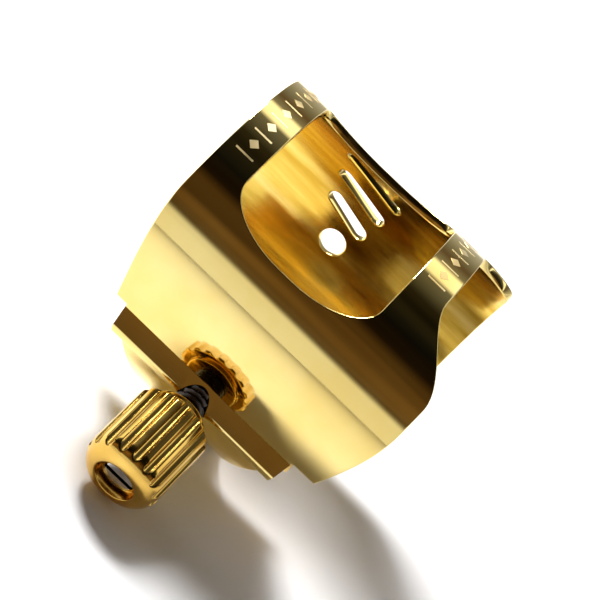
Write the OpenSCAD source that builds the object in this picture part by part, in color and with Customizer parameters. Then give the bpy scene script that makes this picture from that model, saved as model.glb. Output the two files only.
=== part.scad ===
// Saxophone ligature: a sheet brass ring that slides over a mouthpiece, with one radial
// thumbscrew that drives a pressure plate against the reed.
//
// The ring's axis is Y, and the origin is on it, in the plane of the screw. Z is up, and the
// ligature lies on its side as it does on a table, on its ring and on the rim of its knob.
// Inside the posed() frame the screw points along +Z, and a place on the ring is given by its
// angle round the ring from the screw, its Y, and its radius.

/* [Ring] */
// Inner diameter of the ring
ring_bore = 21; // [19:0.1:25]
// Thickness of the ring's sheet
sheet = 0.7; // [0.6:0.05:0.9]
// Length of the ring's front part, from the screw to the front rim
front_len = 10.05; // [9.5:0.05:11]
// Length of the ring's rear part, from the screw to the widest point of the rear rim
rear_len = 11.05; // [10.5:0.05:12]
// Distance from the screw to the front rim's side of the window
window_front = 7.2; // [6.5:0.05:7.4]
// Distance from the screw to the rear rim's side of the window
window_rear = 4.75; // [4:0.05:5]
// Half width of the strap that closes the ring on the far side
waist = 3.2; // [2.8:0.1:4]
// Half width of the tongue where it meets the flank, beside the screw
tongue = 7.6; // [7:0.1:8]

/* [Keel] */
// Height of the keel's crest over the ring
keel_h = 1.1; // [0.8:0.05:1.2]
// Half width of the keel's foot
keel_foot = 1.4; // [1.35:0.05:1.6]
// Width of the keel's flat crest, which lies towards the flank
keel_crest = 0.5; // [0.3:0.05:0.7]

/* [Screw] */
// Diameter of the screw's thread
screw_d = 2.4; // [2:0.1:2.6]
// Pitch of the thread
pitch = 0.45; // [0.35:0.05:0.5]
// Gap between the knob and the keel's crest
knob_gap = 1.1; // [1.1:0.05:2]

/* [Knob] */
// Outer diameter of the knob
knob_d = 5.7; // [5.2:0.1:6.5]
// Length of the knob
knob_len = 7.1; // [6:0.1:8]
// Number of flutes round the knob
flutes = 16; // [12:1:20]
// Radius of each flute
flute_r = 0.36; // [0.3:0.02:0.42]

/* [Plate] */
// Length of the pressure plate along the reed
plate_len = 15.6; // [12:0.2:16]
// Width of the pressure plate across the reed
plate_w = 8; // [7:0.2:8.4]
// Thickness of the pressure plate
plate_t = 0.8; // [0.6:0.1:1]
// Height of the two rails that bear on the reed
rail_h = 0.8; // [0.7:0.05:1]

/* [Hidden] */
$fn = 96;

ring_in = ring_bore / 2;
ring_out = ring_in + sheet;
screw_r = screw_d / 2;
// Angle by which the screw points below the horizontal when the knob's rim is on the table
rest_tilt = 26.15;

// Radii, out from the ring's axis, of what lies along the screw
plate_out = 8.0;
cup_floor = plate_out + 0.1;
cup_seat = cup_floor + 0.17;
cup_top = plate_out + 0.9;
boss_in = 9.7;
crest = ring_out + keel_h;
knob_back = crest + knob_gap;
knob_front = knob_back + knob_len;
stud_front = knob_front - 0.5;
nose_r = 0.8;
nose_end = plate_out - plate_t - 0.65;
clip_out = plate_out - plate_t - 0.12;
clip_t = 0.3;
running_gap = 0.05;

// Angles round the ring from the screw
step_angle = 8;
window_from = 55.8;
window_to = 152.5;
far_angle = 280;

// The two rims as lists of [angle, distance from the screw's plane], eased between points
tongue_rim = [[far_angle - 360, waist], [-50, waist], [14, tongue]];
front_rim = [[-8, 8.1], [56, front_len], [244, front_len], [far_angle, waist]];
rear_rim = [[-14, 8.6], [44, rear_len], [55, rear_len], [89, 7.5], [134, 7.5],
            [156, rear_len - 0.2], [244, rear_len - 0.2], [far_angle, waist]];

function ease(t) = t * t * (3 - 2 * t);
function blend(a, b, t) = a + (b - a) * ease(min(1, max(0, t)));
function along(x, keys, i = 0) =
    (x <= keys[i + 1][0] || i + 2 >= len(keys))
        ? blend(keys[i][1], keys[i + 1][1], (x - keys[i][0]) / (keys[i + 1][0] - keys[i][0]))
        : along(x, keys, i + 1);
function rim(x, flank_rim) = x <= step_angle ? along(x, tongue_rim) : along(x, flank_rim);
function front_y(x) = -rim(x, front_rim);
function rear_y(x) = rim(x, rear_rim);

// Steps round the ring, with both sides of the flank's square corner
rim_steps = concat([for (x = [far_angle - 360 : 4 : step_angle - 1]) x],
                   [step_angle, step_angle + 0.3],
                   [for (x = [step_angle + 4 : 4 : far_angle - 2]) x]);

// A place on the ring from its angle, Y and radius
function at(angle, y, r) = [-r * sin(angle), y, r * cos(angle)];

// Turns the screw's frame so that the ligature lies on the table
module posed() {
    rotate([0, 90 + rest_tilt, 0]) children();
}

// A cylinder on the screw's axis from one radius to another
module on_screw(from, to, r) {
    translate([0, 0, from]) cylinder(h = to - from, r = r);
}

// A block bent round the ring's axis. At each of the given angles it reaches from low to
// high in Y. It is closed on itself when it goes all the way round.
module bent_block(angles, low, high, r0, r1, closed) {
    n = len(angles);
    last = closed ? n - 1 : n - 2;
    points = [for (i = [0 : n - 1])
        each [at(angles[i], low[i], r0), at(angles[i], high[i], r0),
              at(angles[i], high[i], r1), at(angles[i], low[i], r1)]];
    sides = [for (i = [0 : last]) for (k = [0 : 3])
        let (a = 4 * i + k, b = 4 * i + (k + 1) % 4)
        let (c = 4 * ((i + 1) % n) + (k + 1) % 4, d = 4 * ((i + 1) % n) + k)
        each [[a, b, c], [a, c, d]]];
    ends = closed ? [] : [[3, 2, 1, 0], [4 * n - 4, 4 * n - 3, 4 * n - 2, 4 * n - 1]];
    polyhedron(points, concat(sides, ends), convexity = 6);
}

// What lies outside the ring's two rims
module beyond_rims() {
    reach = rear_len + 3;
    inside = ring_in - 0.6;
    outside = crest + 1;
    bent_block(rim_steps, [for (x = rim_steps) -reach], [for (x = rim_steps) front_y(x)],
               inside, outside, true);
    bent_block(rim_steps, [for (x = rim_steps) rear_y(x)], [for (x = rim_steps) reach],
               inside, outside, true);
}

// The large window, with elliptical corners
module window() {
    half = (window_to - window_from) / 2;
    middle = (window_to + window_from) / 2;
    corner = 14;
    inset = 5.4;
    // The share of a corner's inset that is left at an angle from the window's middle
    function left(x) = let (t = max(0, abs(x) - half + corner) / corner)
        1 - sqrt(max(0, 1 - t * t));
    steps = concat([for (t = [90 : -10 : 0]) -half + corner - corner * sin(t)],
                   [for (x = [-half + corner + 4 : 4 : half - corner - 2]) x],
                   [for (t = [0 : 10 : 90]) half - corner + corner * sin(t)]);
    bent_block([for (x = steps) middle + x],
               [for (x = steps) -window_front + inset * left(x)],
               [for (x = steps) window_rear - inset * left(x)],
               ring_in - 0.6, ring_out + 0.6, false);
}

// A round-ended slot through the crown, given by its angle round the ring, Y and length
module slot(angle, y, length, turn) {
    slot_r = 0.6;
    rotate([0, -angle, 0])
        translate([0, y, ring_in - 1])
            rotate([0, 0, turn]) {
                translate([-slot_r, -length / 2, 0]) cube([2 * slot_r, length, 3]);
                for (end = [-1, 1])
                    translate([0, end * length / 2, 0]) cylinder(h = 3, r = slot_r, $fn = 32);
            }
}

// Three slanting vents and a round one, in a row round the crown
module crown_vents() {
    slot(162, -1.6, 4.6, 18);
    slot(176, -1.6, 3.8, 18);
    slot(189, -1.5, 3.0, 18);
    rotate([0, -203, 0])
        translate([0, -1.0, ring_in - 1]) cylinder(h = 3, r = 1.05, $fn = 48);
}

module tube() {
    rotate([90, 0, 0]) difference() {
        cylinder(h = 2 * rear_len + 1, r = ring_out, center = true, $fn = 180);
        cylinder(h = 2 * rear_len + 3, r = ring_in, center = true, $fn = 180);
    }
}

module ring_body() {
    color("gold") posed() difference() {
        tube();
        beyond_rims();
        window();
        crown_vents();
        on_screw(ring_in - 1, ring_out + 1, screw_r + running_gap);
    }
}

// The ridge along the outside of the ring, in two lengths that meet the screw. Its side
// towards the flank is the steeper one.
module keel_rail() {
    foot_z = ring_out - 0.1;
    color("gold") posed() difference() {
        rotate([90, 0, 0]) linear_extrude(height = 18, center = true)
            polygon([[-keel_foot, ring_in], [-keel_foot, foot_z], [-keel_crest, crest],
                     [0, crest], [keel_foot, foot_z], [keel_foot, ring_in]]);
        rotate([90, 0, 0]) cylinder(h = 20, r = ring_out, center = true, $fn = 180);
        beyond_rims();
        on_screw(ring_in, crest + 1, screw_r + running_gap);
    }
}

// The threaded block brazed inside the ring, shaped to the ring's bore
module threaded_boss() {
    color("gold") posed() difference() {
        intersection() {
            on_screw(boss_in, ring_out, 3);
            rotate([90, 0, 0]) cylinder(h = 10, r = ring_in, center = true, $fn = 180);
        }
        on_screw(boss_in - 1, ring_out + 1, screw_r + running_gap);
    }
}

// The cup that takes the screw's thrust and lets it turn on the plate
module thrust_cup() {
    color("gold") posed() difference() {
        on_screw(cup_floor, cup_top, 2.1);
        on_screw(cup_seat, cup_top + 1, screw_r + running_gap);
        on_screw(cup_floor - 1, cup_seat + 1, nose_r + running_gap);
    }
}

// The plate that bears on the reed through two rails along its edges
module pressure_plate() {
    rail_w = 0.8;
    color("gold") posed() difference() {
        union() {
            translate([-plate_w / 2, -plate_len / 2, plate_out - plate_t])
                cube([plate_w, plate_len, plate_t]);
            for (side = [-1, 1])
                translate([side * (plate_w - rail_w) / 2 - rail_w / 2, -plate_len / 2,
                           plate_out - plate_t - rail_h])
                    cube([rail_w, plate_len, rail_h + 0.2]);
        }
        on_screw(plate_out - plate_t - 1, plate_out + 1, nose_r + 0.25);
    }
}

// The ring pressed on the screw's nose that holds the plate
module retaining_ring() {
    color("silver") posed() difference() {
        on_screw(clip_out - clip_t, clip_out, 1.7);
        on_screw(clip_out - 1, clip_out + 1, nose_r);
    }
}

// The fluted knob, with a domed front, a collar behind and a recess round the stud's end
module thumb_knob() {
    r = knob_d / 2;
    collar_r = r * 0.72;
    collar = 0.75;
    dome = 1.35;
    recess_r = 1.5;
    flute_circle = r + 0.1;
    color("gold") posed() difference() {
        rotate_extrude() polygon(concat(
            [[screw_r, knob_back], [collar_r - 0.15, knob_back], [collar_r, knob_back + 0.15],
             [collar_r, knob_back + collar], [r - 0.3, knob_back + collar],
             [r, knob_back + collar + 0.35]],
            [for (t = [0 : 15 : 90])
                [recess_r + 0.15 + (r - recess_r - 0.15) * cos(t),
                 knob_front - dome + dome * sin(t)]],
            [[recess_r, knob_front - 0.12], [recess_r, knob_front - 0.85],
             [screw_r, knob_front - 0.85]]));
        for (i = [0 : flutes - 1])
            rotate([0, 0, i * 360 / flutes])
                translate([flute_circle, 0, knob_back + collar - 0.2])
                    cylinder(h = knob_len - collar - dome + 0.75, r = flute_r, $fn = 24);
    }
}

// The threaded stud, fast in the knob, with a slotted front and a nose that carries the plate
module screw_stud() {
    slot_w = 0.36;
    slot_deep = 0.45;
    thread_deep = 0.16;
    turns = floor((knob_back + 0.4 - cup_top - 0.9) / pitch);
    thread_from = cup_top + 0.9;
    color("dimgray") posed() difference() {
        rotate_extrude($fn = 64) polygon(concat(
            [[0, nose_end], [nose_r - 0.15, nose_end], [nose_r, nose_end + 0.15],
             [nose_r, cup_seat + 0.03], [screw_r, cup_seat + 0.03]],
            [for (i = [0 : turns - 1]) each
                [[screw_r, thread_from + i * pitch],
                 [screw_r - thread_deep, thread_from + (i + 0.5) * pitch]]],
            [[screw_r, thread_from + turns * pitch], [screw_r, stud_front - 0.2],
             [screw_r - 0.2, stud_front], [0, stud_front]]));
        translate([-slot_w / 2, -screw_r - 1, stud_front - slot_deep])
            cube([slot_w, screw_d + 2, slot_deep + 1]);
    }
}

ring_body();
keel_rail();
threaded_boss();
thrust_cup();
pressure_plate();
retaining_ring();
thumb_knob();
screw_stud();
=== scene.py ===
"""The looks of the saxophone ligature: a mirror-polished gold ring, its fluted thumbscrew and the
plate inside, on a pale floor. Lengths are in metres, in the frame of the CAD part, apart from the
flat pattern's, which are in millimetres.

The ring's axis is Y. A place on the ring is given by its angle in degrees round the ring from the
screw, which is the same angle as in the CAD source, its Y and its radius.
"""

import math

import bmesh
import bpy
from mathutils import Matrix, Vector


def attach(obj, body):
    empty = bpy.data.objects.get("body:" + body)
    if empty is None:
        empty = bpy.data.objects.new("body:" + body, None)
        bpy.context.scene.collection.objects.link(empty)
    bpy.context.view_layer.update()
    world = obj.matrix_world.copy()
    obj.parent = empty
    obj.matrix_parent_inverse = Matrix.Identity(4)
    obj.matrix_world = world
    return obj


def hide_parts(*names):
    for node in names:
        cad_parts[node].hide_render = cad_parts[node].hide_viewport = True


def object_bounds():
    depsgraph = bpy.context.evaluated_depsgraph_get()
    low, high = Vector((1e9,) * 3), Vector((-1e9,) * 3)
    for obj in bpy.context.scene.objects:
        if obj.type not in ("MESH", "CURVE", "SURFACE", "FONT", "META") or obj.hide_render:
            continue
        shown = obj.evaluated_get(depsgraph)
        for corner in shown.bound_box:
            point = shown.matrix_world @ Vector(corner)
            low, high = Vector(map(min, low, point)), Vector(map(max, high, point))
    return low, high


MM = 0.001

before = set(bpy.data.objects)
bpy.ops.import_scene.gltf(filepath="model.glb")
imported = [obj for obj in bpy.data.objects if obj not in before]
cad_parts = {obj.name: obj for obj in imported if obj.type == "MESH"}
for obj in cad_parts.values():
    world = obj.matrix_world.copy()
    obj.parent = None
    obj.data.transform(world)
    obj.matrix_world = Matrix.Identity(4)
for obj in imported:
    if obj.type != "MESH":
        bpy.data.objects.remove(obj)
cad_low, cad_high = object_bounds()

# Sizes that the CAD source states, in metres

RING_IN = 10.5 * MM
SHEET = 0.7 * MM
RING_OUT = RING_IN + SHEET
REST_TILT = math.radians(26.15)
KEEL_H = 1.1 * MM
KEEL_FOOT = 1.4 * MM
KEEL_CREST = 0.5 * MM
CREST = RING_OUT + KEEL_H
RUNNING_GAP = 0.05 * MM
KNOB_GAP = 1.1 * MM
KNOB_BACK = CREST + KNOB_GAP
KNOB_LEN = 7.1 * MM
KNOB_FRONT = KNOB_BACK + KNOB_LEN
KNOB_R = 2.85 * MM
SCREW_R = 1.2 * MM
PITCH = 0.45 * MM
NOSE_END = 6.55 * MM
NOSE_R = 0.8 * MM
STUD_SEAT = 8.3 * MM
STUD_FRONT = KNOB_FRONT - 0.5 * MM

# Those of the flat pattern: angles in degrees, and distances along Y in millimetres

STEP_ANGLE = 8.0
FAR_ANGLE = 280.0
WINDOW_ANGLES = (55.8, 152.5)
WINDOW_CORNER = 14.0
FRONT_LEN = 10.05
REAR_LEN = 11.05
TONGUE = 7.6
WAIST = 3.2
WINDOW_FRONT = 7.2
WINDOW_REAR = 4.75
WINDOW_INSET = 5.4

# The rims as lists of (angle, distance from the screw's plane)
TONGUE_RIM = [(FAR_ANGLE - 360, WAIST), (-50, WAIST), (14, TONGUE)]
FRONT_RIM = [(-8, 8.1), (56, FRONT_LEN), (244, FRONT_LEN), (FAR_ANGLE, WAIST)]
REAR_RIM = [(-14, 8.6), (44, REAR_LEN), (55, REAR_LEN), (89, 7.5), (134, 7.5),
            (156, REAR_LEN - 0.2), (244, REAR_LEN - 0.2), (FAR_ANGLE, WAIST)]


def eased(x, keys):
    """The value at x of a list of (x, value), eased between its points."""
    for (x0, v0), (x1, v1) in zip(keys, keys[1:]):
        if x <= x1:
            t = min(1.0, max(0.0, (x - x0) / (x1 - x0)))
            return v0 + (v1 - v0) * t * t * (3 - 2 * t)
    return keys[-1][1]


def rim(angle, flank_rim):
    """How far a rim stands from the screw's plane, in millimetres."""
    return eased(angle, TONGUE_RIM if angle <= STEP_ANGLE else flank_rim)


def on_ring(angle, y, r):
    """The point at an angle round the ring, a Y and a radius."""
    a = math.radians(angle) - REST_TILT
    return Vector((r * math.cos(a), y, r * math.sin(a)))


def quarter(steps):
    """The sine and the cosine at each step of a quarter turn, without its start."""
    turns = [math.radians(90 * i / steps) for i in range(1, steps + 1)]
    return [(math.sin(t), math.cos(t)) for t in turns]


# The screw's frame: local +Z points out along the screw
SCREW_FRAME = Matrix.Rotation(math.pi / 2 + REST_TILT, 4, "Y")

# Edges sharper than this stay crisp
SHARP = math.radians(38)


# Materials


class Tree:
    """A node tree, with short calls for making and joining its nodes."""

    def __init__(self, tree, coordinates):
        self.tree = tree
        self.place = self.add("TexCoord").outputs[coordinates]

    def add(self, kind, **values):
        """A new node, with the inputs that are named set to their values."""
        node = self.tree.nodes.new("ShaderNode" + kind)
        for name, value in values.items():
            node.inputs[name.replace("_", " ")].default_value = value
        return node

    def join(self, source, target):
        self.tree.links.new(source, target)

    def noise(self, scale, detail=4.0, stretch=(1, 1, 1)):
        place = self.add("Mapping", Scale=stretch)
        self.join(self.place, place.inputs["Vector"])
        node = self.add("TexNoise", Scale=scale, Detail=detail)
        self.join(place.outputs["Vector"], node.inputs["Vector"])
        return node.outputs["Fac"]

    def ramp(self, source, stops):
        """The colour at source, from a list of (place, colour)."""
        node = self.add("ValToRGB")
        ramp = node.color_ramp
        while len(ramp.elements) < len(stops):
            ramp.elements.new(0.5)
        for element, (place, colour) in zip(ramp.elements, stops):
            element.position = place
            element.color = (*colour, 1)
        self.join(source, node.inputs["Fac"])
        return node.outputs["Color"]

    def ranged(self, source, low, high, source_low=0.3, source_high=0.7):
        """source, moved from its own range to the range from low to high."""
        node = self.add("MapRange", From_Min=source_low, From_Max=source_high,
                        To_Min=low, To_Max=high)
        self.join(source, node.inputs["Value"])
        return node.outputs["Result"]

    def maths(self, operation, first, second):
        node = self.add("Math")
        node.operation = operation
        self.join(first, node.inputs[0])
        self.join(second, node.inputs[1])
        return node.outputs[0]


class Nodes(Tree):
    """A material and its node tree."""

    def __init__(self, name, **values):
        self.material = bpy.data.materials.new(name)
        self.material.use_nodes = True
        super().__init__(self.material.node_tree, "Object")
        self.shader = self.tree.nodes["Principled BSDF"]
        for key, value in values.items():
            self.shader.inputs[key.replace("_", " ")].default_value = value

    def bump(self, height, strength, distance):
        node = self.add("Bump", Strength=strength, Distance=distance)
        self.join(height, node.inputs["Height"])
        self.to(node.outputs["Normal"], "Normal")

    def to(self, source, name):
        self.join(source, self.shader.inputs[name])


def gold(name, bright, dull, rough_low, rough_high, wave=0.0):
    """Gold plate over polished brass: faintly cloudy colour, a haze of handling, and a slight
    waviness in the sheet where wave isn't 0."""
    n = Nodes(name, Metallic=1.0)
    n.to(n.ramp(n.noise(260, 5), [(0.35, dull), (0.65, bright)]), "Base Color")
    n.to(n.ranged(n.noise(700, 6), rough_low, rough_high), "Roughness")
    if wave:
        n.bump(n.noise(120, 2, (1, 0.35, 1)), wave, 0.0004)
    return n.material


def inner_gold_painted_reflection(name):
    """The inside of the ring: a deeper gold than the outside, drawn in fine streaks along the
    tube, as painted reflection of the amber light bounced round inside the ring.
    """
    n = Nodes(name, Metallic=1.0)
    streaks = n.noise(650, 4, (1, 0.12, 1))
    # The deeper colour and its streaks are painted reflection, standing in for the amber light
    # bounced round inside the ring; the same streaks also give the bump below.
    n.to(n.ramp(streaks, [(0.36, (0.58, 0.36, 0.04)), (0.50, (0.76, 0.53, 0.10)),
                          (0.66, (0.92, 0.71, 0.22))]), "Base Color")
    n.to(n.ranged(n.noise(900, 4, (1, 0.2, 1)), 0.10, 0.22), "Roughness")
    n.bump(streaks, 0.10, 0.00012)
    return n.material


def steel(name, colour, rough_low, rough_high):
    """Bare steel, mottled and finely pitted."""
    n = Nodes(name, Metallic=1.0)
    paler = tuple(min(1, c * 1.5) for c in colour)
    n.to(n.ramp(n.noise(900, 4), [(0.35, colour), (0.7, paler)]), "Base Color")
    n.to(n.ranged(n.noise(1500, 5), rough_low, rough_high), "Roughness")
    n.bump(n.noise(5000, 3), 0.12, 0.00002)
    return n.material


PALE_GOLD = (0.95, 0.76, 0.30)
DEEP_GOLD = (0.91, 0.69, 0.23)
WARM_GOLD = (0.93, 0.66, 0.25)
DULL_GOLD = (0.82, 0.54, 0.17)
# Each gold has a bright and a dull colour, its least and most roughness, and its waviness
MATERIALS = {
    "ring": gold("ring_gold", PALE_GOLD, DEEP_GOLD, 0.035, 0.075, 0.10),
    "inner": inner_gold_painted_reflection("inner_gold_painted_reflection"),
    "keel": gold("keel_gold", PALE_GOLD, DEEP_GOLD, 0.05, 0.10, 0.10),
    "boss": gold("boss_gold", WARM_GOLD, DULL_GOLD, 0.14, 0.26),
    "cup": gold("cup_gold", WARM_GOLD, DULL_GOLD, 0.12, 0.22),
    "plate": gold("plate_gold", (0.97, 0.72, 0.28), (0.90, 0.62, 0.20), 0.07, 0.14, 0.10),
    # The knob's gold is darker than the ring's: painted shade, standing in for the dark
    # surroundings that its faces mirror.
    "knob": gold("knob_gold_painted_shade", (0.82, 0.54, 0.13), (0.64, 0.38, 0.07), 0.09, 0.17),
    "clip": steel("clip_steel", (0.45, 0.45, 0.46), 0.18, 0.32),
    "stud": steel("stud_steel", (0.055, 0.047, 0.042), 0.2, 0.34),
    "stud_end": steel("cut_steel", (0.60, 0.62, 0.66), 0.16, 0.28),
    "etched": gold("etched_gold", (0.98, 0.82, 0.46), (0.85, 0.62, 0.25), 0.35, 0.5),
}


def piece(name, mesh, body, slot, material=None, replaces=()):
    """Puts a finished mesh in the scene and makes it ride on its body."""
    made = bpy.data.objects.new(name, mesh)
    bpy.context.scene.collection.objects.link(made)
    mesh.materials.clear()
    mesh.materials.append(MATERIALS[material or slot])
    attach(made, body)
    if replaces:
        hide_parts(*replaces)


# The ring: its flat pattern, cut and rounded along its edges, then bent round the mouthpiece

ROUND_EDGE = 0.09 * MM
MIDDLE_R = (RING_IN + RING_OUT) / 2
# The sheet is cut across this often, in degrees, so that it can bend
BEND_STEP = 2.0
# Vertices nearer than these are one, in the flat sheet and after its ends meet
FLAT_WELD = 0.002 * MM
BENT_WELD = 0.004 * MM
# Along the flat pattern, this many metres stand for one degree of the ring
PER_DEGREE = math.radians(1) * MIDDLE_R


def flat_outline():
    """The pattern's outer outline: along the front rim, and back along the rear rim. It runs on
    a little at both ends, which are trimmed when the sheet is cut."""
    spare = 2.0
    every = 2
    square_step = 0.15
    start = FAR_ANGLE - 360
    tongue_points = int(STEP_ANGLE - start) // every
    flank_points = int(FAR_ANGLE - STEP_ANGLE) // every
    angles = [start - spare] + [start + every * i for i in range(tongue_points)]
    angles += [STEP_ANGLE, STEP_ANGLE + square_step]
    angles += [STEP_ANGLE + every * i for i in range(1, flank_points + 1)] + [FAR_ANGLE + spare]
    front = [(a, -rim(a, FRONT_RIM)) for a in angles]
    rear = [(a, rim(a, REAR_RIM)) for a in reversed(angles)]
    return front + rear


def window_outline():
    """The window, with elliptical corners."""
    middle = sum(WINDOW_ANGLES) / 2
    half = (WINDOW_ANGLES[1] - WINDOW_ANGLES[0]) / 2
    corner_points = 12
    every = 90 / corner_points
    points = []
    for side, edge in ((1, WINDOW_REAR), (-1, -WINDOW_FRONT)):
        for end in (side, -side):
            for i in range(corner_points + 1):
                t = math.radians(every * i if end == -side else 90 - every * i)
                angle = middle + end * (half - WINDOW_CORNER + WINDOW_CORNER * math.sin(t))
                points.append((angle, edge - side * WINDOW_INSET * (1 - math.cos(t))))
    return points


def slot_outline(angle, y, length, turn):
    """A round-ended vent through the crown, turned by an angle in degrees."""
    slot_r = 0.6
    end_points = 12
    c, s = math.cos(math.radians(turn)), math.sin(math.radians(turn))
    points = []
    for end in (1, -1):
        for i in range(end_points + 1):
            t = math.radians(180 / end_points * i) + (0 if end == 1 else math.pi)
            across = slot_r * math.cos(t)
            along = end * length / 2 + slot_r * math.sin(t)
            round_ring = math.degrees((across * c - along * s) * MM / RING_OUT)
            points.append((angle - round_ring, y + across * s + along * c))
    return points


def disc_outline(angle, y, r):
    """A round hole."""
    every = 10
    return [(angle + math.degrees(r * MM * math.cos(t) / RING_OUT), y + r * math.sin(t))
            for t in (math.radians(every * i) for i in range(360 // every))]


def cut_sheet(name, outlines, thickness, edge, first=None, last=None):
    """A flat sheet with rounded edges from outlines of (angle, Y in millimetres), cut across
    every few degrees and trimmed to the angles from first to last, if they are given."""
    curve = bpy.data.curves.new(name, "CURVE")
    curve.dimensions = "2D"
    curve.fill_mode = "BOTH"
    curve.bevel_depth = edge
    curve.bevel_resolution = 2
    curve.offset = -edge
    curve.extrude = thickness / 2 - edge
    for outline in outlines:
        spline = curve.splines.new("POLY")
        spline.points.add(len(outline) - 1)
        spline.use_cyclic_u = True
        for point, (angle, y) in zip(spline.points, outline):
            point.co = (angle * PER_DEGREE, y * MM, 0, 1)
    holder = bpy.data.objects.new(name + "_flat", curve)
    bpy.context.scene.collection.objects.link(holder)
    bpy.context.view_layer.update()
    mesh = bpy.data.meshes.new_from_object(holder.evaluated_get(
        bpy.context.evaluated_depsgraph_get()))
    bpy.data.objects.remove(holder)
    bm = bmesh.new()
    bm.from_mesh(mesh)
    bmesh.ops.remove_doubles(bm, verts=bm.verts, dist=FLAT_WELD)
    low = min(v.co.x for v in bm.verts) / PER_DEGREE
    high = max(v.co.x for v in bm.verts) / PER_DEGREE
    start = math.floor(low / BEND_STEP) * BEND_STEP
    for i in range(1, int((high - low) / BEND_STEP) + 1):
        cut_across(bm, start + i * BEND_STEP)
    if first is not None:
        cut_across(bm, first, clear_inner=True)
        cut_across(bm, last, clear_outer=True)
    bm.to_mesh(mesh)
    bm.free()
    return mesh


def cut_across(bm, angle, **clear):
    """Cuts the flat sheet across at an angle, and clears one side of the cut if asked."""
    bmesh.ops.bisect_plane(bm, geom=[*bm.verts, *bm.edges, *bm.faces], dist=1e-8,
                           plane_co=(angle * PER_DEGREE, 0, 0), plane_no=(1, 0, 0), **clear)


def bend(mesh, middle_r, half_thickness):
    """Wraps a flat sheet round the ring's axis, joins its ends, and gives its two broad faces
    the ring's own true normals, so that they mirror cleanly."""
    bm = bmesh.new()
    bm.from_mesh(mesh)
    for v in bm.verts:
        v.co = on_ring(v.co.x / PER_DEGREE, v.co.y, middle_r + v.co.z)
    bmesh.ops.remove_doubles(bm, verts=bm.verts, dist=BENT_WELD)
    bmesh.ops.recalc_face_normals(bm, faces=bm.faces)
    for f in bm.faces:
        f.smooth = True
    bm.to_mesh(mesh)
    bm.free()
    normals = []
    for loop in mesh.loops:
        v = mesh.vertices[loop.vertex_index]
        out = Vector((v.co.x, 0, v.co.z))
        height = out.length - middle_r
        if abs(abs(height) - half_thickness) < BENT_WELD:
            normals.append(out.normalized() * (1 if height > 0 else -1))
        else:
            normals.append(v.normal.copy())
    mesh.normals_split_custom_set(normals)


# The flat pattern narrows inwards as it bends, so the screw's hole is cut wider than its bore
SCREW_HOLE = disc_outline(0, 0, 1.36)
VENTS = [slot_outline(162, -1.6, 4.6, 18), slot_outline(176, -1.6, 3.8, 18),
         slot_outline(189, -1.5, 3.0, 18), disc_outline(203, -1.0, 1.05)]

ring_mesh = cut_sheet("ring", [flat_outline(), window_outline(), SCREW_HOLE] + VENTS,
                      SHEET, ROUND_EDGE, FAR_ANGLE - 360, FAR_ANGLE)
bend(ring_mesh, MIDDLE_R, SHEET / 2)
piece("ring", ring_mesh, "frame", "ring", replaces=["ring_body"])
ring_mesh.materials.append(MATERIALS["inner"])
INNER_FACE = RING_IN + 0.04 * MM
for face in ring_mesh.polygons:
    if math.hypot(face.center.x, face.center.z) < INNER_FACE:
        face.material_index = 1


# The border of small bars and diamonds on the two strips beside the window: thin frosted marks

MARK_PROUD = 0.012 * MM
MARK_EDGE = 0.004 * MM
MARK_SPACING = 5
DIAMOND = 0.42
BAR_WIDE = 0.07
BAR_TALL = 0.75


def marks(name, y, first, count):
    """A row of bars and diamonds in turn, from the angle first on."""
    outlines = []
    for i in range(count):
        angle = first + MARK_SPACING * i
        size = DIAMOND if i % 2 else BAR_WIDE
        wide = math.degrees(size * MM / RING_OUT)
        if i % 2:
            outlines.append([(angle - wide, y), (angle, y - DIAMOND),
                             (angle + wide, y), (angle, y + DIAMOND)])
        else:
            outlines.append([(angle - wide, y - BAR_TALL), (angle + wide, y - BAR_TALL),
                             (angle + wide, y + BAR_TALL), (angle - wide, y + BAR_TALL)])
    mesh = cut_sheet(name, outlines, 2 * MARK_PROUD, MARK_EDGE)
    bend(mesh, RING_OUT, MARK_PROUD)
    piece(name, mesh, "frame", "ring", material="etched")


marks("front_marks", -8.6, 76, 14)
marks("rear_marks", 6.1, 92, 9)


# Turned pieces


def screw_mesh(name, bm):
    """A smooth mesh from bm, moved from the screw's frame to the part's."""
    bmesh.ops.recalc_face_normals(bm, faces=bm.faces)
    bmesh.ops.transform(bm, matrix=SCREW_FRAME, verts=bm.verts)
    for f in bm.faces:
        f.smooth = True
    mesh = bpy.data.meshes.new(name)
    bm.to_mesh(mesh)
    bm.free()
    mesh.set_sharp_from_angle(angle=SHARP)
    return mesh


def turned(name, rows, sides, radius_at):
    """A closed lathe mesh round the screw. rows are (z, r), and radius_at(z, r, angle) gives
    the radius there. A row of radius 0 is a point on the axis, and a section that doesn't
    start on the axis is joined end to start, which leaves a bore."""
    bm = bmesh.new()
    rings = []
    for z, r in rows:
        if r <= 0:
            rings.append([bm.verts.new((0, 0, z))])
            continue
        ring_verts = []
        for k in range(sides):
            angle = 2 * math.pi * k / sides
            here = radius_at(z, r, angle)
            ring_verts.append(bm.verts.new((here * math.cos(angle), here * math.sin(angle), z)))
        rings.append(ring_verts)
    for a, b in zip(rings, rings[1:]):
        for k in range(sides):
            n = (k + 1) % sides
            if len(a) == 1:
                bm.faces.new((a[0], b[n], b[k]))
            elif len(b) == 1:
                bm.faces.new((a[k], a[n], b[0]))
            else:
                bm.faces.new((a[k], a[n], b[n], b[k]))
    if len(rings[0]) > 1:
        a, b = rings[-1], rings[0]
        for k in range(sides):
            n = (k + 1) % sides
            bm.faces.new((a[k], a[n], b[n], b[k]))
    return screw_mesh(name, bm)


FLUTES = 16
FLUTE_R = 0.36 * MM
FLUTE_CIRCLE = KNOB_R + 0.1 * MM
FLUTE_SOFT = 0.05 * MM
COLLAR = 0.75 * MM
DOME = 1.35 * MM
RECESS_R = 1.5 * MM
RECESS_DEEP = 0.85 * MM


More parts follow.
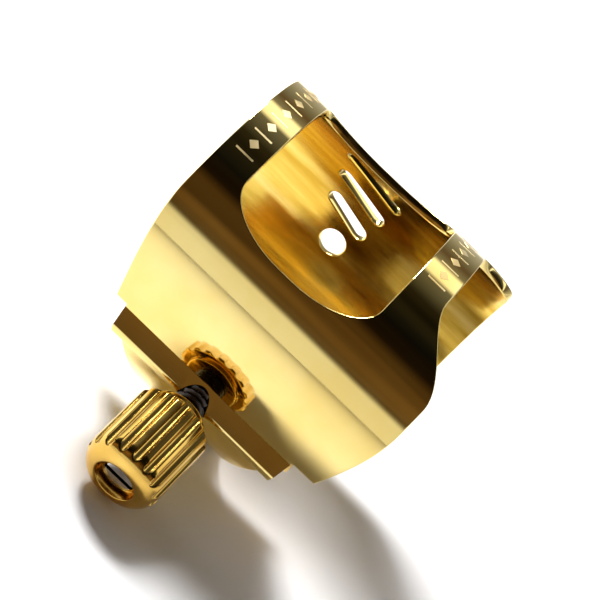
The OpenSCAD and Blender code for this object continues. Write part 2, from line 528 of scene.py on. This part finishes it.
def flute_limit(angle):
    """How far out the knob's metal reaches at an angle, where the flutes cut it."""
    spread = 2 * math.pi / FLUTES
    off = abs((angle + spread / 2) % spread - spread / 2)
    across = FLUTE_CIRCLE * math.sin(off)
    if across >= FLUTE_R:
        return math.inf
    return FLUTE_CIRCLE * math.cos(off) - math.sqrt(FLUTE_R ** 2 - across ** 2)


def knob_radius(z, r, angle):
    """The knob's outside with its flutes, whose edges are slightly rounded."""
    flutes_from = KNOB_BACK + COLLAR - 0.1 * MM
    if z < flutes_from or r < KNOB_R * 0.8:
        return r
    limit = flute_limit(angle)
    gap = r - limit
    if gap > FLUTE_SOFT:
        return limit
    if gap < -FLUTE_SOFT:
        return r
    return r - (gap + FLUTE_SOFT) ** 2 / (4 * FLUTE_SOFT)


def knob_rows():
    """The knob's section, from its back out to its front and into the recess."""
    collar_r = KNOB_R * 0.72
    collar_round = 0.15 * MM
    collar_top = KNOB_BACK + COLLAR
    fillet = 0.03 * MM
    shoulder_wide = 0.33 * MM
    shoulder_tall = 0.35 * MM
    dome_from = KNOB_FRONT - DOME
    lip_wide = 0.15 * MM
    lip_tall = 0.12 * MM
    lip_r = RECESS_R + lip_wide
    floor_z = KNOB_FRONT - RECESS_DEEP

    rows = [(KNOB_BACK, SCREW_R), (KNOB_BACK, collar_r - collar_round)]
    rows += [(KNOB_BACK + collar_round * (1 - c), collar_r - collar_round * (1 - s))
             for s, c in quarter(5)]
    rows += [(collar_top - fillet, collar_r), (collar_top, collar_r + fillet),
             (collar_top, KNOB_R - shoulder_wide)]
    rows += [(collar_top + shoulder_tall * (1 - c), KNOB_R - shoulder_wide * (1 - s))
             for s, c in quarter(8)]
    straight_from = rows[-1][0]
    straight = dome_from - straight_from
    rows += [(straight_from + straight * i / 12, KNOB_R) for i in range(1, 13)]
    rows += [(dome_from + DOME * s, lip_r + (KNOB_R - lip_r) * c) for s, c in quarter(30)]
    rows += [(KNOB_FRONT - lip_tall * (1 - c), lip_r - lip_wide * s) for s, c in quarter(5)]
    rows += [(floor_z + fillet, RECESS_R), (floor_z, RECESS_R - fillet), (floor_z, SCREW_R)]
    return rows


piece("knob", turned("knob", knob_rows(), FLUTES * 20, knob_radius), "thumbscrew", "knob",
      replaces=["thumb_knob"])


# The stud, with a true helix

THREAD_FROM = 9.8 * MM
THREAD_TO = KNOB_BACK + 0.4 * MM
THREAD_DEEP = 0.17 * MM
ROWS_A_TURN = 14
SLOT_WIDE = 0.36 * MM
SLOT_DEEP = 0.45 * MM


def thread_radius(z, r, angle):
    """A rounded V thread, fading in and out at the ends of its run."""
    if r < SCREW_R - 0.001 * MM:
        return r
    phase = (z / PITCH - angle / (2 * math.pi)) % 1.0
    ridge = abs(2 * phase - 1)
    fade = min(1.0, max(0.0, (z - THREAD_FROM) / PITCH), max(0.0, (THREAD_TO - z) / PITCH))
    return r - THREAD_DEEP * (1 - ridge ** 1.3) * fade


def stud_rows():
    """The stud's section, from the end of its nose to its front."""
    nose_bevel = 0.15 * MM
    front_round = 0.2 * MM
    rows = [(NOSE_END, 0), (NOSE_END, NOSE_R - nose_bevel), (NOSE_END + nose_bevel, NOSE_R),
            (STUD_SEAT, NOSE_R), (STUD_SEAT, SCREW_R)]
    run = THREAD_TO - THREAD_FROM
    count = int(run / PITCH * ROWS_A_TURN)
    rows += [(THREAD_FROM + run * i / count, SCREW_R) for i in range(count + 1)]
    rows.append((STUD_FRONT - front_round, SCREW_R))
    rows += [(STUD_FRONT - front_round * (1 - s), SCREW_R - front_round * (1 - c))
             for s, c in quarter(5)]
    rows.append((STUD_FRONT, 0))
    return rows


def slot_cutter():
    """A block that leaves the screwdriver slot in the stud's front."""
    bm = bmesh.new()
    bmesh.ops.create_cube(bm, size=1)
    bmesh.ops.scale(bm, vec=(SLOT_WIDE, 4 * SCREW_R, 2 * SLOT_DEEP), verts=bm.verts)
    bmesh.ops.translate(bm, vec=(0, 0, STUD_FRONT), verts=bm.verts)
    bmesh.ops.transform(bm, matrix=SCREW_FRAME, verts=bm.verts)
    mesh = bpy.data.meshes.new("slot_cutter")
    bm.to_mesh(mesh)
    bm.free()
    return mesh


def cut_by(mesh, cutter_mesh):
    """A mesh like the first, with the second taken away from it."""
    cutter = bpy.data.objects.new("cutter", cutter_mesh)
    body = bpy.data.objects.new("cut_body", mesh)
    for o in (cutter, body):
        bpy.context.scene.collection.objects.link(o)
    cut = body.modifiers.new("cut", "BOOLEAN")
    cut.operation = "DIFFERENCE"
    cut.object = cutter
    cut.solver = "EXACT"
    bpy.context.view_layer.update()
    made = bpy.data.meshes.new_from_object(body.evaluated_get(
        bpy.context.evaluated_depsgraph_get()))
    for o in (cutter, body):
        bpy.data.objects.remove(o)
    made.name = mesh.name
    made.set_sharp_from_angle(angle=SHARP)
    return made


stud_mesh = cut_by(turned("stud", stud_rows(), 96, thread_radius), slot_cutter())
piece("stud", stud_mesh, "thumbscrew", "stud", replaces=["screw_stud"])
stud_mesh.materials.append(MATERIALS["stud_end"])
along_screw = (SCREW_FRAME.to_3x3() @ Vector((0, 0, 1))).normalized()
END_FROM = STUD_FRONT - 0.15 * MM
for face in stud_mesh.polygons:
    # The end is cut bright, and only the slot in it is dark
    if face.center.dot(along_screw) > END_FROM and face.normal.dot(along_screw) > 0.3:
        face.material_index = 1


# The keel: a ridge along the ring with a soft crest, cut by the screw's hole


def keel_section():
    """The ridge's outline as (across, out) from the ring's axis, with its corners softened and
    its foot following the ring."""
    foot = RING_OUT - 0.1 * MM
    soft = 0.16 * MM
    corner_steps = 8
    foot_steps = 12
    corners = [(-KEEL_FOOT, foot), (-KEEL_CREST, CREST), (0, CREST), (KEEL_FOOT, foot)]
    section = [corners[0]]
    for before, corner, after in zip(corners, corners[1:], corners[2:]):
        start, middle, end = (Vector((*c, 0)) for c in (before, corner, after))
        start = middle + (start - middle).normalized() * soft
        end = middle + (end - middle).normalized() * soft
        for i in range(corner_steps + 1):
            t = i / corner_steps
            p = start * (1 - t) ** 2 + middle * 2 * t * (1 - t) + end * t * t
            section.append((p.x, p.y))
    section.append(corners[-1])
    foot_angle = math.asin(KEEL_FOOT / RING_OUT)
    for i in range(1, foot_steps):
        t = foot_angle - 2 * foot_angle * i / foot_steps
        section.append((RING_OUT * math.sin(t), RING_OUT * math.cos(t)))
    return section


def keel_mesh():
    """The section drawn along the ring as far as the tongue's rims, then bored for the screw."""
    rows_along = 40
    section = keel_section()
    bm = bmesh.new()
    rows = []
    for j in range(rows_along + 1):
        row = []
        for x, z in section:
            reach = eased(math.degrees(math.atan2(-x, z)), TONGUE_RIM) * MM
            row.append(bm.verts.new((x, reach * (2 * j / rows_along - 1), z)))
        rows.append(row)
    count = len(section)
    for a, b in zip(rows, rows[1:]):
        for k in range(count):
            n = (k + 1) % count
            bm.faces.new((a[k], a[n], b[n], b[k]))
    bm.faces.new(rows[0])
    bm.faces.new(rows[-1])
    mesh = screw_mesh("keel", bm)
    bore_r = SCREW_R + RUNNING_GAP
    bore_from, bore_to = 9 * MM, 15 * MM
    bore_rows = [(bore_from, 0), (bore_from, bore_r), (bore_to, bore_r), (bore_to, 0)]
    return cut_by(mesh, turned("bore", bore_rows, 96, lambda z, r, angle: r))


piece("keel", keel_mesh(), "frame", "keel", replaces=["keel_rail"])


# The CAD pieces that stay: each one's material, and the width in millimetres of the round on
# its edges

CAD_LOOKS = {"threaded_boss": ("boss", 0.05), "thrust_cup": ("cup", 0.05),
             "pressure_plate": ("plate", 0.1), "retaining_ring": ("clip", 0.04)}

for node, (slot_name, round_edge) in CAD_LOOKS.items():
    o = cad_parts[node]
    o.data.materials.clear()
    o.data.materials.append(MATERIALS[slot_name])
    bevel = o.modifiers.new("round_edges", "BEVEL")
    bevel.width = round_edge * MM
    bevel.segments = 3
    bevel.limit_method = "ANGLE"
    bevel.angle_limit = math.radians(35)


# The floor, the light and the camera


def make_floor():
    """A pale plane, a hair below the part so that the two never share a surface."""
    hair = 0.02 * MM
    bpy.ops.mesh.primitive_plane_add(size=0.9, location=(0, 0, cad_low.z - hair))
    floor = bpy.context.object
    floor.name = "floor"
    n = Nodes("floor_white", Base_Color=(0.93, 0.93, 0.94, 1), Roughness=0.6)
    floor.data.materials.append(n.material)


# The room as a list of (elevation round the ring's axis in degrees, brightness, colour).
# Elevation 0 is the horizon on the knob's side, 90 is overhead and 180 the far horizon.
WHITE = (1, 1, 1)
GREY = (0.5, 0.5, 0.5)
ROOM = [(-180, 0.8, WHITE), (0, 0.9, WHITE), (13, 0.85, WHITE), (16, 0.10, (0.9, 0.66, 0.4)),
        (24, 0.24, (0.9, 0.52, 0.20)), (42, 0.32, (0.9, 0.50, 0.18)),
        (49, 0.05, (0.9, 0.5, 0.24)), (62, 0.02, GREY), (90, 0.04, (0.6, 0.5, 0.3)),
        (110, 0.16, WHITE), (114, 1.3, WHITE), (125, 1.5, WHITE), (129, 0.24, WHITE),
        (140, 0.12, (1, 0.7, 0.5)), (152, 0.2, WHITE), (166, 0.35, WHITE), (180, 0.5, WHITE)]


def make_room():
    """The surroundings that the polished metal mirrors, as bands round the ring's axis."""
    world = bpy.data.worlds.new("room")
    bpy.context.scene.world = world
    world.use_nodes = True
    n = Tree(world.node_tree, "Generated")
    split = n.add("SeparateXYZ")
    n.join(n.place, split.inputs[0])
    toward_knob, upward = split.outputs["X"], split.outputs["Z"]
    elevation = n.maths("ARCTAN2", upward, toward_knob)
    stops = [((angle + 180) / 360, [bright * c for c in colour]) for angle, bright, colour in ROOM]
    bands = n.ramp(n.ranged(elevation, 0, 1, -math.pi, math.pi), stops)
    # Clutter dims the bands only on the knob's side and above the horizon
    clutter = n.ranged(n.noise(2.3, 2), 0.25, 1.0, 0.42, 0.62)
    above = n.ranged(upward, 0, 1, 0.15, 0.35)
    on_this_side = n.ranged(toward_knob, 0, 1, -0.2, 0.1)
    strength = n.add("Mix", A=1.0)
    n.join(n.maths("MULTIPLY", above, on_this_side), strength.inputs["Factor"])
    n.join(clutter, strength.inputs["B"])
    background = n.tree.nodes["Background"]
    n.join(strength.outputs["Result"], background.inputs["Strength"])
    n.join(bands, background.inputs["Color"])


def softbox(name, place, size, watts):
    """A square lamp that faces the part."""
    light = bpy.data.lights.new(name, "AREA")
    light.energy = watts
    light.size = size
    o = bpy.data.objects.new(name, light)
    o.location = place
    o.rotation_mode = "QUATERNION"
    o.rotation_quaternion = (-Vector(place)).to_track_quat("-Z", "Y")
    bpy.context.scene.collection.objects.link(o)


def make_camera():
    """The camera looks at the ring from the knob's side, a little above it, and is rolled."""
    elevation = math.radians(25.35)
    swing = math.radians(0.7)
    roll = math.atan2(0.694, 0.72)
    view_angle = math.radians(15.55)
    distance = 151 * MM
    aim = Vector((0, 0.4, 0)) * MM
    aim_right = 0.206 * MM
    aim_up = 0.275 * MM

    towards = Vector((math.cos(elevation), 0, math.sin(elevation)))
    back = (towards * math.cos(swing) + Vector((0, math.sin(swing), 0))).normalized()
    along = (Vector((0, math.cos(swing), 0)) - towards * math.sin(swing)).normalized()
    level_up = back.cross(along)
    right = along * math.cos(roll) + level_up * math.sin(roll)
    up = back.cross(right)
    camera = bpy.data.cameras.new("camera")
    camera.sensor_width = 36
    camera.lens = camera.sensor_width / 2 / math.tan(view_angle / 2)
    camera.clip_start = 0.01
    camera.clip_end = 10
    o = bpy.data.objects.new("camera", camera)
    rotation = Matrix((right, up, back)).transposed().to_4x4()
    place = aim + right * aim_right + up * aim_up + back * distance
    o.matrix_world = Matrix.Translation(place) @ rotation
    bpy.context.scene.collection.objects.link(o)
    bpy.context.scene.camera = o


make_floor()
make_room()
softbox("key", (-0.155, -0.20, 0.27), 0.12, 2.2)
softbox("fill", (-0.20, -0.16, 0.34), 0.10, 0.4)
make_camera()
bpy.context.scene.view_settings.view_transform = "Standard"
